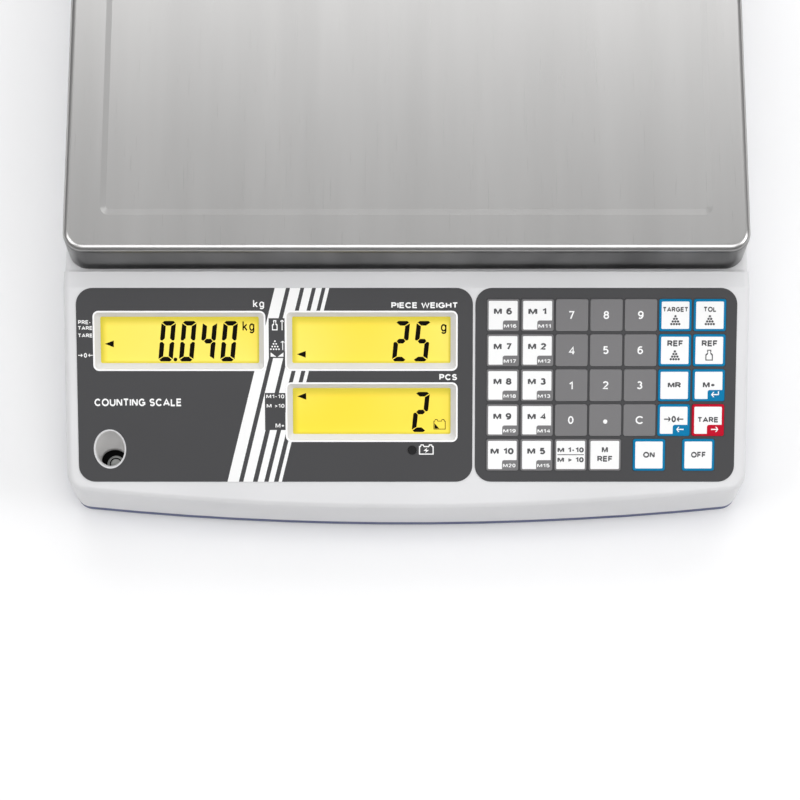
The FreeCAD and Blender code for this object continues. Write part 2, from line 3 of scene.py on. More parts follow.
import bmesh
import bpy
from mathutils import Matrix, Vector
from mathutils.geometry import delaunay_2d_cdt


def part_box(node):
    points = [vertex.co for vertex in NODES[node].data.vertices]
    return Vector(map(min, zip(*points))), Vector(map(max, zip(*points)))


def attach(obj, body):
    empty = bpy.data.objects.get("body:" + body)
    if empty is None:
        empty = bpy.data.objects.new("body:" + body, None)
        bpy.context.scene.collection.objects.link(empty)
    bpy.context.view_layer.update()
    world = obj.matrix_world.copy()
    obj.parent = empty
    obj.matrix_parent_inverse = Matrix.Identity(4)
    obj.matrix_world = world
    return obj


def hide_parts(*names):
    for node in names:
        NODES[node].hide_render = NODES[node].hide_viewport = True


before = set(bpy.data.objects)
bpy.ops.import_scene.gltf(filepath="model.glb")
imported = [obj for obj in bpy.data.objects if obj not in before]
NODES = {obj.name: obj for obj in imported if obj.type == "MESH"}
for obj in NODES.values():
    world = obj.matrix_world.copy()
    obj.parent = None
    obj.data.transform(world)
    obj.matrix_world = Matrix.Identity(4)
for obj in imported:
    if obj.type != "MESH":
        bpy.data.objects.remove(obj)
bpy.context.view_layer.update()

MM = 0.001

# ---------------------------------------------------------------- sizes on the panel, in millimetres

SLOPE = math.radians(25)
FILM = 0.3                 # label top above the housing
LABEL_LENGTH = 86.07
INK = 0.03                 # thickness of a printed layer
WINDOWS = {"weight": (-99.45, 23.35), "piece": (-15.4, 23.3), "count": (-15.3, 54.95)}
MOUTH = (75.6, 26.6)
MOUTH_CORNER = 2.6
RIM = 0.75                 # width of the rim round a display mouth
GLASS = (69.5, 20.6)
GLASS_DEPTH = 3.0
KEY = 14.2
ROLLED_EDGE = 3.0          # radius of the plate's top edge

LEVEL_CENTRE = (-130.6, 71.4)
LEVEL_MOUTH = (12.85, 16.1)    # upper edge of the well, a little inside the oval hole
LEVEL_WINDOW = 1.4         # underside of the clear window, below the panel
HOLDER_HEIGHT = 2.2        # the vial's dark holder
HOLDER_RIM = (2.0, 0.6)    # width and height of the rim on the holder
EYE = (1.3, -3.3)          # the vial's eye lies to the front right in its well
EYE_SIZE = (3.9, 0.8)      # radius and rise of its dome
EYE_RING = (2.7, 0.5)      # radius and width of the ring on the dome
EYE_RING_SPAN = (0.7, 0.95)    # foot and top of that ring, above the holder
THROAT = (0.9, -2.2)       # foot of the well, from the vial's axis
THROAT_SIZE = (11.2, 9.6)
THROAT_RISE = 2.4          # foot of the well above the holder
WELL_WALL = 0.25

label_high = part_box("display_overlay")[1]
crease = Vector((0, label_high.y, label_high.z - FILM * MM * math.cos(SLOPE)))
PANEL = Matrix.Translation(crease) @ Matrix.Rotation(SLOPE, 4, "X")


# ---------------------------------------------------------------- materials

def new_material(name, colour, roughness, metallic=0.0, **sockets):
    """A Principled material; returns it with its node tree and shader."""
    made = bpy.data.materials.new(name)
    made.use_nodes = True
    tree = made.node_tree
    shader = tree.nodes["Principled BSDF"]
    shader.inputs["Base Color"].default_value = (*colour, 1)
    shader.inputs["Roughness"].default_value = roughness
    shader.inputs["Metallic"].default_value = metallic
    for socket, value in sockets.items():
        shader.inputs[socket.replace("_", " ")].default_value = value
    return made, tree, shader


def noise(tree, scale, detail=3.0, stretch=(1, 1, 1)):
    """Noise in the object's own axes; returns its value socket."""
    coords = tree.nodes.new("ShaderNodeTexCoord")
    mapping = tree.nodes.new("ShaderNodeMapping")
    mapping.inputs["Scale"].default_value = stretch
    texture = tree.nodes.new("ShaderNodeTexNoise")
    texture.inputs["Scale"].default_value = scale
    texture.inputs["Detail"].default_value = detail
    tree.links.new(coords.outputs["Object"], mapping.inputs["Vector"])
    tree.links.new(mapping.outputs["Vector"], texture.inputs["Vector"])
    return texture.outputs["Fac"]


def ramp(tree, factor, low, high, start=0.3, end=0.7):
    """Blend between two colours as the factor goes from start to end."""
    node = tree.nodes.new("ShaderNodeValToRGB")
    node.color_ramp.elements[0].position = start
    node.color_ramp.elements[1].position = end
    node.color_ramp.elements[0].color = (*low, 1)
    node.color_ramp.elements[1].color = (*high, 1)
    tree.links.new(factor, node.inputs["Fac"])
    return node.outputs["Color"]


def spread(tree, factor, low, high):
    """Map a factor from 0..1 to low..high."""
    node = tree.nodes.new("ShaderNodeMapRange")
    node.inputs["To Min"].default_value = low
    node.inputs["To Max"].default_value = high
    tree.links.new(factor, node.inputs["Value"])
    return node.outputs["Result"]


def bump(tree, shader, height, distance):
    """Relief of the given depth in metres."""
    node = tree.nodes.new("ShaderNodeBump")
    node.inputs["Distance"].default_value = distance
    tree.links.new(height, node.inputs["Height"])
    tree.links.new(node.outputs["Normal"], shader.inputs["Normal"])


def shade(colour, factor):
    """The colour, lighter or darker by a factor."""
    return tuple(min(1.0, channel * factor) for channel in colour)


def moulded(name, colour, roughness, grain=2200.0, depth=0.000012, contrast=0.03, **sockets):
    """Moulded plastic or film: slight tone drift, fine grain, uneven gloss."""
    made, tree, shader = new_material(name, colour, roughness, **sockets)
    drift = noise(tree, 18.0, 2.0)
    tone = ramp(tree, drift, shade(colour, 1 - contrast), shade(colour, 1 + contrast))
    tree.links.new(tone, shader.inputs["Base Color"])
    fine = noise(tree, grain, 2.0)
    gloss = spread(tree, fine, roughness - 0.05, roughness + 0.05)
    tree.links.new(gloss, shader.inputs["Roughness"])
    bump(tree, shader, fine, depth)
    return made


def film(name, colour, roughness, depth, specular):
    """Printed or plain film, with a finer grain than a moulding."""
    return moulded(name, colour, roughness, grain=3500.0, depth=depth, Specular_IOR_Level=specular)


def brushed(name, colour, roughness, across, along, band=0.08):
    """Brushed metal: fine grain over broad soft bands; across and along are the grain's pitches."""
    made, tree, shader = new_material(name, colour, roughness, metallic=1.0)
    fine = tuple(a + b for a, b in zip(across, along))
    broad = tuple(a * 0.012 + b * 0.25 for a, b in zip(across, along))
    bands = noise(tree, 1.0, 3.0, stretch=broad)
    tone = ramp(tree, bands, shade(colour, 1 - band), shade(colour, 1 + band))
    tree.links.new(tone, shader.inputs["Base Color"])
    grain = noise(tree, 1.0, 4.0, stretch=fine)
    gloss = spread(tree, grain, roughness - 0.06, roughness + 0.06)
    tree.links.new(gloss, shader.inputs["Roughness"])
    bump(tree, shader, grain, 0.000006)
    return made


def cast(name, colour, roughness):
    """Cast metal with a pebbly skin."""
    made, tree, shader = new_material(name, colour, roughness, metallic=1.0)
    pebble = noise(tree, 900.0, 4.0)
    tone = ramp(tree, noise(tree, 60.0), shade(colour, 0.9), shade(colour, 1.08))
    tree.links.new(tone, shader.inputs["Base Color"])
    bump(tree, shader, pebble, 0.00006)
    return made


WHITE = moulded("white_shell", (0.70, 0.70, 0.712), 0.42)
NAVY = moulded("navy_base", (0.003, 0.022, 0.135), 0.38, Specular_IOR_Level=0.3)
LABEL = film("label_film", (0.056, 0.056, 0.059), 0.55, 0.000006, 0.25)
# The rim glows faintly: painted light that keeps it bright.
RIM_WHITE_PAINTED_GLOW = moulded("rim_white_painted_glow", (0.90, 0.90, 0.91), 0.4,
                    Emission_Color=(1, 1, 1, 1), Emission_Strength=0.06)
PRINT_WHITE = film("print_white", (0.90, 0.90, 0.90), 0.45, 0.000004, 0.5)
PRINT_GREY = film("print_grey", (0.185, 0.182, 0.187), 0.55, 0.000006, 0.25)
PRINT_DARK = film("print_dark", (0.075, 0.075, 0.08), 0.55, 0.000004, 0.25)
PRINT_BLUE = film("print_blue", (0.0, 0.19, 0.40), 0.5, 0.000004, 0.1)
PRINT_RED = film("print_red", (0.52, 0.002, 0.022), 0.5, 0.000004, 0.1)
SEGMENT = moulded("lcd_segment", (0.004, 0.003, 0.001), 0.6, contrast=0.1, Specular_IOR_Level=0.05)
BLACK = moulded("black_plastic", (0.012, 0.012, 0.013), 0.45)
HOLDER_BLACK = moulded("level_black", (0.003, 0.003, 0.003), 0.6, Specular_IOR_Level=0.05)
RUBBER = moulded("rubber", (0.014, 0.014, 0.014), 0.75, grain=1200.0, depth=0.00003)
BOARD = moulded("circuit_board", (0.012, 0.11, 0.035), 0.4, contrast=0.15)
BATTERY_CASE = moulded("battery_case", (0.03, 0.03, 0.034), 0.5)
LAMP = moulded("lamp_lens", (0.008, 0.008, 0.009), 0.5, Specular_IOR_Level=0.2)
CELL = brushed("cell_aluminium", (0.72, 0.73, 0.75), 0.32, (4000, 0, 4000), (0, 40, 0))
CASTING = cast("frame_casting", (0.46, 0.47, 0.49), 0.45)
SCREW = cast("screw_steel", (0.55, 0.55, 0.56), 0.3)


def mixed(tree, factor, low, high):
    """Blend two colour sockets by a factor socket."""
    node = tree.nodes.new("ShaderNodeMix")
    node.data_type = "RGBA"
    tree.links.new(factor, node.inputs["Factor"])
    tree.links.new(low, node.inputs["A"])
    tree.links.new(high, node.inputs["B"])
    return node.outputs["Result"]


def plate_steel():
    """Brushed stainless sheet; the skirt below the rolled edge has painted shade, dark and patchy,
    standing for its dark reflections.
    """
    colour = (0.52, 0.515, 0.51)
    made = brushed("plate_steel", colour, 0.30, (5200, 0, 5200), (0, 22, 0), band=0.04)
    tree = made.node_tree
    shader = tree.nodes["Principled BSDF"]
    top_tone = shader.inputs["Base Color"].links[0].from_socket
    # Painted shade and reflection: the skirt's colour turns dark and patchy below the rolled edge.
    shade_patches = noise(tree, 34.0, 2.0, stretch=(1, 1, 0.3))
    skirt_painted_shade = ramp(tree, shade_patches, (0.03, 0.03, 0.031), (0.19, 0.19, 0.19), 0.25, 0.8)
    coords = tree.nodes.new("ShaderNodeTexCoord")
    split = tree.nodes.new("ShaderNodeSeparateXYZ")
    tree.links.new(coords.outputs["Object"], split.inputs["Vector"])
    rise = tree.nodes.new("ShaderNodeMapRange")
    rise.interpolation_type = "SMOOTHSTEP"
    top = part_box("weighing_plate")[1].z
    rise.inputs["From Min"].default_value = top - ROLLED_EDGE * MM * 1.1
    rise.inputs["From Max"].default_value = top - ROLLED_EDGE * MM * 0.35
    tree.links.new(split.outputs["Z"], rise.inputs["Value"])
    tree.links.new(mixed(tree, rise.outputs["Result"], skirt_painted_shade, top_tone), shader.inputs["Base Color"])
    return made


PLATE = plate_steel()


def lcd_yellow():
    """Back-lit reflector behind the glass, with painted shade towards the frame, deepest under the upper
    wall.
    """
    made, tree, shader = new_material("lcd_yellow", (0.90, 0.79, 0.09), 0.4, Specular_IOR_Level=0.2)
    coords = tree.nodes.new("ShaderNodeTexCoord")
    split = tree.nodes.new("ShaderNodeSeparateXYZ")
    tree.links.new(coords.outputs["UV"], split.inputs["Vector"])
    edges = []
    for axis, start, end in (("X", 0.0, 0.05), ("X", 1.0, 0.98), ("Y", 0.0, 0.07), ("Y", 1.0, 0.78)):
        node = tree.nodes.new("ShaderNodeMapRange")
        node.interpolation_type = "SMOOTHSTEP"
        node.inputs["From Min"].default_value = start
        node.inputs["From Max"].default_value = end
        tree.links.new(split.outputs[axis], node.inputs["Value"])
        edges.append(node.outputs["Result"])
    level = edges[0]
    for edge in edges[1:]:
        node = tree.nodes.new("ShaderNodeMath")
        node.operation = "MULTIPLY"
        tree.links.new(level, node.inputs[0])
        tree.links.new(edge, node.inputs[1])
        level = node.outputs["Value"]
    drift = ramp(tree, noise(tree, 14.0, 1.0), (0.90, 0.67, 0.042), (0.90, 0.745, 0.12), 0.35, 0.65)
    # Painted shade: a darker yellow near the edges, where the recess walls shade the reflector.
    rim = tree.nodes.new("ShaderNodeRGB")
    rim.outputs["Color"].default_value = (0.62, 0.52, 0.035, 1)
    tone = mixed(tree, level, rim.outputs["Color"], drift)
    tree.links.new(tone, shader.inputs["Base Color"])
    tree.links.new(tone, shader.inputs["Emission Color"])
    shader.inputs["Emission Strength"].default_value = 0.12
    return made


LCD = lcd_yellow()

PAINT = {
    "upper_housing": WHITE, "base_housing": NAVY, "battery_cover": NAVY,
    "display_overlay": LABEL, "keypad_overlay": LABEL, "lcd_modules": BLACK,
    "main_board": BOARD, "charge_led": LAMP, "load_cell": CELL, "base_frame": CASTING,
    "platform_carrier": CASTING, "plate_pads": RUBBER, "weighing_plate": PLATE,
    "battery": BATTERY_CASE, "power_socket": BLACK, "housing_screws": SCREW, "wiring": BLACK,
}
# The keys are painted with their faces, and the level's vial is replaced further down.
for node_name in NODES:
    if node_name.startswith("foot_sole"):
        PAINT[node_name] = RUBBER
    if node_name.startswith("foot_screw"):
        PAINT[node_name] = BLACK


def paint(node, made):
    """Give a CAD node its only material."""
    node.data.materials.clear()
    node.data.materials.append(made)


for node_name, made in PAINT.items():
    paint(NODES[node_name], made)


# ---------------------------------------------------------------- mesh helpers

def to_mesh(data):
    """Mesh of a curve block."""
    holder = bpy.data.objects.new("holder", data)
    bpy.context.scene.collection.objects.link(holder)
    graph = bpy.context.evaluated_depsgraph_get()
    mesh = bpy.data.meshes.new_from_object(holder.evaluated_get(graph))
    bpy.data.objects.remove(holder)
    return mesh


def sheet(outlines, low, high):
    """Flat piece between two heights; an outline inside another is a hole. All in millimetres."""
    data = bpy.data.curves.new("outline", "CURVE")
    data.dimensions = "2D"
    data.fill_mode = "BOTH"
    data.extrude = (high - low) / 2
    for points in outlines:
        spline = data.splines.new("POLY")
        spline.points.add(len(points) - 1)
        for point, (x, y) in zip(spline.points, points):
            point.co = (x, y, 0, 1)
        spline.use_cyclic_u = True
    mesh = to_mesh(data)
    mesh.transform(Matrix.Translation((0, 0, (low + high) / 2)))
    return mesh


def arc(x, y, radius, start, end, steps):
    """Points on an arc, in degrees."""
    points = []
    for i in range(steps + 1):
        turn = math.radians(start + (end - start) * i / steps)
        points.append((x + radius * math.cos(turn), y + radius * math.sin(turn)))
    return points


def rounded(x0, x1, y0, y1, radius, steps=5):
    """Outline of a rectangle with round corners."""
    r = radius
    return (arc(x1 - r, y1 - r, r, 0, 90, steps) + arc(x0 + r, y1 - r, r, 90, 180, steps)
            + arc(x0 + r, y0 + r, r, 180, 270, steps) + arc(x1 - r, y0 + r, r, 270, 360, steps))


def block(x0, x1, y0, y1):
    return [(x0, y0), (x1, y0), (x1, y1), (x0, y1)]


def dot(x, y, radius, steps=14):
    return arc(x, y, radius, 0, 360 - 360 / steps, steps - 1)


def oval(x, y, size, steps):
    points = dot(0, 0, 0.5, steps)
    return [(x + px * size[0], y + py * size[1]) for px, py in points]


def bow(x, y, rx, ry, start, end, steps=9):
    """Points on an elliptical arc, in degrees."""
    return [(x + (px - x) * rx, y + (py - y) * ry) for px, py in arc(x, y, 1.0, start, end, steps)]


def ring(x, y, rx, ry):
    """Closed ellipse; a stroke whose last point repeats its first is closed."""
    points = bow(x, y, rx, ry, 0, 345, 23)
    return points + points[:1]


# Each letter: its width and the middle lines of its strokes, with the capitals' height as 1.
PENS = {
    "A": (0.88, [[(0, 0), (0.44, 1), (0.88, 0)], [(0.16, 0.3), (0.72, 0.3)]]),
    "C": (0.82, [bow(0.44, 0.5, 0.44, 0.5, 42, 318)]),
    "E": (0.62, [[(0.62, 1), (0, 1), (0, 0), (0.64, 0)], [(0, 0.52), (0.58, 0.52)]]),
    "F": (0.6, [[(0.6, 1), (0, 1), (0, 0)], [(0, 0.48), (0.52, 0.48)]]),
    "G": (0.88, [bow(0.44, 0.5, 0.44, 0.5, 42, 325), [(0.86, 0.08), (0.86, 0.46), (0.48, 0.46)]]),
    "H": (0.72, [[(0, 0), (0, 1)], [(0.72, 0), (0.72, 1)], [(0, 0.52), (0.72, 0.52)]]),
    "I": (0.0, [[(0, 0), (0, 1)]]),
    "L": (0.56, [[(0, 1), (0, 0), (0.56, 0)]]),
    "M": (0.84, [[(0, 0), (0, 1)], [(0.05, 1), (0.42, 0.1), (0.79, 1)], [(0.84, 0), (0.84, 1)]]),
    "N": (0.72, [[(0, 0), (0, 1)], [(0.04, 1), (0.68, 0)], [(0.72, 0), (0.72, 1)]]),
    "O": (0.92, [ring(0.46, 0.5, 0.46, 0.5)]),
    "P": (0.64, [[(0, 0), (0, 1), (0.36, 1)] + bow(0.36, 0.73, 0.28, 0.27, 80, -80)
                 + [(0.36, 0.46), (0, 0.46)]]),
    "R": (0.7, [[(0, 0), (0, 1), (0.38, 1)] + bow(0.38, 0.74, 0.28, 0.26, 80, -80)
                + [(0.38, 0.48), (0, 0.48)],
                [(0.36, 0.48), (0.7, 0)]]),
    "S": (0.66, [bow(0.33, 0.75, 0.3, 0.25, 25, 255) + bow(0.33, 0.255, 0.33, 0.255, 75, -155)]),
    "T": (0.72, [[(0, 1), (0.72, 1)], [(0.36, 1), (0.36, 0)]]),
    "U": (0.72, [[(0, 1), (0, 0.36)] + bow(0.36, 0.36, 0.36, 0.36, 190, 350) + [(0.72, 0.36), (0.72, 1)]]),
    "W": (1.16, [[(0, 1), (0.29, 0), (0.58, 1), (0.87, 0), (1.16, 1)]]),
    "k": (0.44, [[(0, 0), (0, 1)], [(0.42, 0.68), (0, 0.26)], [(0.14, 0.4), (0.44, 0)]]),
    "g": (0.46, [ring(0.23, 0.36, 0.23, 0.34),
                 [(0.46, 0.7), (0.46, -0.02)] + bow(0.23, -0.02, 0.23, 0.23, -10, -150)]),
    "0": (0.52, [ring(0.26, 0.5, 0.26, 0.5)]),
    "1": (0.28, [[(0, 0.74), (0.28, 1), (0.28, 0)]]),
    "2": (0.52, [bow(0.26, 0.73, 0.26, 0.27, 165, -35) + [(0, 0), (0.54, 0)]]),
    "3": (0.52, [bow(0.25, 0.76, 0.23, 0.24, 150, -80), bow(0.25, 0.26, 0.27, 0.26, 80, -155)]),
    "4": (0.56, [[(0.42, 0), (0.42, 1), (0, 0.3), (0.58, 0.3)]]),
    "5": (0.52, [[(0.48, 1), (0.09, 1), (0.03, 0.46)], bow(0.25, 0.32, 0.27, 0.32, 140, -150)]),
    "6": (0.52, [ring(0.26, 0.31, 0.26, 0.31), bow(0.32, 0.5, 0.32, 0.5, 60, 185)]),
    "7": (0.52, [[(0, 1), (0.52, 1), (0.18, 0)]]),
    "8": (0.52, [ring(0.26, 0.76, 0.22, 0.24), ring(0.26, 0.27, 0.26, 0.27)]),
    "9": (0.52, [ring(0.26, 0.69, 0.26, 0.31), bow(0.2, 0.5, 0.32, 0.5, -120, 5)]),
    "-": (0.26, [[(0, 0.4), (0.26, 0.4)]]),
    "+": (0.52, [[(0, 0.44), (0.52, 0.44)], [(0.26, 0.18), (0.26, 0.7)]]),
    ">": (0.44, [[(0, 0.72), (0.44, 0.44), (0, 0.16)]]),
    " ": (0.16, []),
}
LETTER_GAP = 0.34          # between letters, with the capitals' height as 1


def stroke_quads(line, thick):
    """Quads that cover a stroke of the given thickness along a line, mitred at its corners."""
    closed = line[0] == line[-1]
    spots = [Vector(p) for p in line]
    runs = [(b - a).normalized() for a, b in zip(spots, spots[1:])]
    sides = []
    for i, spot in enumerate(spots):
        before = runs[i - 1] if i or closed else runs[0]
        after = runs[i] if i < len(runs) else (runs[0] if closed else runs[-1])
        lean = (before + after).normalized()
        stretch = min(1.0 / max(lean.dot(after), 0.2), 1.45)
        across = Vector((-lean.y, lean.x)) * thick / 2 * stretch
        sides.append((spot + across, spot - across))
    return [(a[0], a[1], b[1], b[0]) for a, b in zip(sides, sides[1:])]


def union_sheet(quads):
    """Closed flat piece, one unit thick, over the area that the quads cover together."""
    points = [corner for quad in quads for corner in quad]
    faces = [list(range(4 * i, 4 * i + 4)) for i in range(len(quads))]
    flat = delaunay_2d_cdt(points, [], faces, 1, 1e-5, True)
    shape = bmesh.new()
    corners = [shape.verts.new((v.x, v.y, 1)) for v in flat[0]]
    for face, sources in zip(flat[2], flat[5]):
        if sources:
            shape.faces.new([corners[i] for i in face])
    bmesh.ops.delete(shape, geom=[v for v in shape.verts if not v.link_faces], context="VERTS")
    bmesh.ops.dissolve_limit(shape, angle_limit=0.01, verts=shape.verts[:], edges=shape.edges[:])
    raised = bmesh.ops.extrude_face_region(shape, geom=shape.faces[:], use_keep_orig=True)
    for item in raised["geom"]:
        if isinstance(item, bmesh.types.BMVert):
            item.co.z = 0
    bmesh.ops.recalc_face_normals(shape, faces=shape.faces[:])
    mesh = bpy.data.meshes.new("strokes")
    shape.to_mesh(mesh)
    shape.free()
    return mesh


def lettering(text, x, y, height, low, width, weight):
    """Text centred on a point; no width keeps its proportions, and weight is its strokes' thickness."""
    quads = []
    pen = 0.0
    for letter in text:
        span, lines = PENS[letter]
        for line in lines:
            quads += stroke_quads([(pen + px, py * (1 - weight)) for px, py in line], weight)
        pen += span + LETTER_GAP
    xs = [corner.x for quad in quads for corner in quad]
    ys = [corner.y for quad in quads for corner in quad]
    rise = height / (max(ys) - min(ys))
    run = rise if width is None else width / (max(xs) - min(xs))
    mesh = union_sheet(quads)
    middle = Vector((-(max(xs) + min(xs)) / 2, -(max(ys) + min(ys)) / 2, 0))
    size = Matrix.Diagonal((run, rise, INK, 1))
    mesh.transform(Matrix.Translation((x, y, low)) @ size @ Matrix.Translation(middle))
    return mesh


def piece(name, parts, place, body):
    """Join (mesh, material) parts given in millimetres, place them and let them ride on a body."""
    joined = bmesh.new()
    materials = []
    for mesh, made in parts:
        if made not in materials:
            materials.append(made)
        for polygon in mesh.polygons:
            polygon.material_index = materials.index(made)
        joined.from_mesh(mesh)
        bpy.data.meshes.remove(mesh)
    data = bpy.data.meshes.new(name)
    joined.to_mesh(data)
    joined.free()
    data.transform(place @ Matrix.Scale(MM, 4))
    for made in materials:
        data.materials.append(made)
    built = bpy.data.objects.new(name, data)
    bpy.context.scene.collection.objects.link(built)
    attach(built, body)
    return built


# ---------------------------------------------------------------- symbols, drawn round (x, y)

def pyramid(x, y, pitch, radius):
    """Heap of dots in four rows; (x, y) is the middle of the bottom row."""
    rows = 4
    outlines = []
    for row in range(rows):
        count = rows - row
        for i in range(count):
            outlines.append(dot(x + (i - (count - 1) / 2) * pitch, y + row * pitch, radius, 10))
    return outlines


def arrow(x, y, length, turn, stroke, head):
    """Line arrow centred on a point, pointing along turn degrees; head is half its head's width."""
    tip = length / 2
    half = stroke / 2
    barb = tip - head
    neck = tip - stroke
    shape = [(-tip, -half), (neck, -half), (barb, -head), (barb + stroke, -head), (tip + half, 0),
             (barb + stroke, head), (barb, head), (neck, half), (-tip, half)]
    c = math.cos(math.radians(turn))
    s = math.sin(math.radians(turn))
    return [(x + px * c - py * s, y + px * s + py * c) for px, py in shape]


def weight_symbol(x, y, size, girth=1.0):
    """Outline of a knobbed weight; size is its height, girth narrows it."""
    line = 0.45
    chamfer = 0.5
    outlines = []
    for inset in (0, line):
        half = size * 0.34 * girth - inset
        knob = size * 0.19 * girth - inset
        neck = size * 0.1 * girth
        foot = y - size * 0.5 + inset
        shoulder = y + size * 0.16 - inset
        throat = y + size * 0.24
        top = y + size * 0.5 - inset
        right = [(half, foot), (half, shoulder - chamfer), (half - chamfer, shoulder),
                 (neck, throat - inset), (knob, throat + inset), (knob, top)]
        left = [(-reach, height) for reach, height in reversed(right)]
        outlines.append([(x + reach, height) for reach, height in right + left])
    return outlines


def battery_outline(u, v, width, height, inset=0.0):
    """Battery with a terminal at each end of its lid, shrunk by inset."""
    x0, x1 = u - width / 2 + inset, u + width / 2 - inset
    foot = -v - height / 2 + inset
    lid = -v + height * 0.34 - inset
    top = -v + height / 2 - inset
    points = [(x0, foot), (x1, foot), (x1, lid)]
    half = width * 0.1 - inset * 0.5
    root = half * 1.4
    for middle in (u + width * 0.28, u - width * 0.28):
        points += [(middle + root, lid), (middle + half, top), (middle - half, top), (middle - root, lid)]
    return points + [(x0, lid)]


# ---------------------------------------------------------------- left label: stripes and legends

# Left and right side of each stripe, at the label's upper and lower edge.
STRIPES_TOP = ((-57.5, -52.6), (-50.8, -46.3), (-44.6, -41.2), (-39.5, -36.9), (-35.3, -33.7))
STRIPES_BOTTOM = ((-79.0, -74.0), (-72.0, -67.8), (-65.7, -62.8), (-60.9, -58.5), (-56.5, -55.0))
# Left, right, upper and lower side of the two dark panels behind the symbols.
ICON_PANELS = ((-60.3, -53.3, 13.3, 30.9), (-62.2, -53.2, 46.4, 62.9))


def cut(target, cutter):
    """Subtract one closed mesh from another; both are given in panel millimetres."""
    objects = []
    for mesh in (target, cutter):
        holder = bpy.data.objects.new("holder", mesh)
        bpy.context.scene.collection.objects.link(holder)
        objects.append(holder)
    modifier = objects[0].modifiers.new("cut", "BOOLEAN")
    modifier.operation = "DIFFERENCE"
    modifier.solver = "EXACT"
    modifier.object = objects[1]
    graph = bpy.context.evaluated_depsgraph_get()
    result = bpy.data.meshes.new_from_object(objects[0].evaluated_get(graph))
    for holder in objects:
        bpy.data.objects.remove(holder)
    return result


def window_outline(centre, inset=0.0):
    """Edge of a display mouth, or a line inset from it."""
    u, v = centre
    half_u = MOUTH[0] / 2 - inset
    half_v = MOUTH[1] / 2 - inset
    return rounded(u - half_u, u + half_u, -v - half_v, -v + half_v, MOUTH_CORNER - inset, 8)


def stripes():
    """Five slanted stripes, cut clear of the display mouths and the two symbol panels."""
    outlines = []
    for (a, b), (c, d) in zip(STRIPES_TOP, STRIPES_BOTTOM):
        outlines.append([(a, 0), (c, -LABEL_LENGTH), (d, -LABEL_LENGTH), (b, 0)])
    bands = sheet(outlines, FILM, FILM + INK)
    openings = [window_outline(centre) for centre in WINDOWS.values()]
    openings += [block(u0, u1, -v1, -v0) for u0, u1, v0, v1 in ICON_PANELS]
    for opening in openings:
        bands = cut(bands, sheet([opening], FILM - 1, FILM + 1))
    return bands


def label_print():
    """Everything printed in white on the left label."""
    parts = [stripes()]
    for text, u, v, height, width, weight in (
            ("kg", -64.6, 7.35, 4.0, 4.8, 0.15),
            ("PIECE WEIGHT", 7.75, 7.6, 2.9, 28.8, 0.23),
            ("PCS", 18.3, 39.35, 2.75, 7.8, 0.23),
            ("PRE-", -140.9, 15.1, 1.8, 5.3, 0.22),
            ("TARE", -140.5, 17.6, 1.8, 6.1, 0.22),
            ("TARE", -140.5, 20.9, 1.8, 6.1, 0.22),
            ("0", -140.6, 29.7, 2.0, 1.4, 0.2),
            ("M1-10", -57.6, 47.9, 1.8, 7.9, 0.18),
            ("M >10", -57.5, 52.1, 1.8, 7.8, 0.18),
            ("M+", -55.7, 60.9, 1.9, 3.8, 0.18),
            ("COUNTING SCALE", -118.0, 50.5, 3.6, 38.0, 0.21)):
        parts.append(lettering(text, u, -v, height, FILM, width, weight))
    weight_sign = weight_symbol(-57.6, -16.4, 4.5, 0.8) + [arrow(-54.4, -16.4, 4.4, 90, 0.4, 0.8)]
    heap_sign = pyramid(-57.6, -27.0, 1.18, 0.38) + [arrow(-54.2, -25.4, 3.9, 90, 0.4, 0.8)]
    pan_corners = [[(-59.5, -28.4), (-59.5, -30.3), (-57.0, -30.3)],
                   [(-53.9, -28.4), (-53.9, -30.3), (-56.4, -30.3)]]
    zero_arrows = [arrow(-142.9, -29.7, 1.8, 0, 0.35, 0.65), arrow(-138.3, -29.7, 1.8, 180, 0.35, 0.65)]
    battery = [battery_outline(8.75, 71.6, 6.5, 4.6), battery_outline(8.75, 71.6, 6.5, 4.6, 0.5)]
    flash = [(9.1, -70.8), (7.5, -72.2), (8.6, -72.2), (8.3, -73.2), (9.9, -71.8), (8.8, -71.8)]
    outlines = weight_sign + heap_sign + pan_corners + zero_arrows + battery + [flash]
    parts.append(sheet(outlines, FILM, FILM + INK))
    piece("label_print", [(mesh, PRINT_WHITE) for mesh in parts], PANEL, "base")


label_print()


# ---------------------------------------------------------------- displays

DIGIT = (6.4, 17.9)
DIGIT_PITCH = 9.05
DIGIT_FOOT = -32.85        # foot of the digits in the upper two displays
LOWER_DISPLAY = -31.5      # from there to the foot of the digits in the lower one
STROKE = 2.05
LEAN = math.tan(math.radians(5.7))
LAYER = 0.05               # thickness of the lit reflector
CLEAR = 0.02               # between the reflector and the recess
DIGIT_SEGMENTS = {"0": "abcdef", "2": "abdeg", "4": "bcfg", "5": "acdfg"}


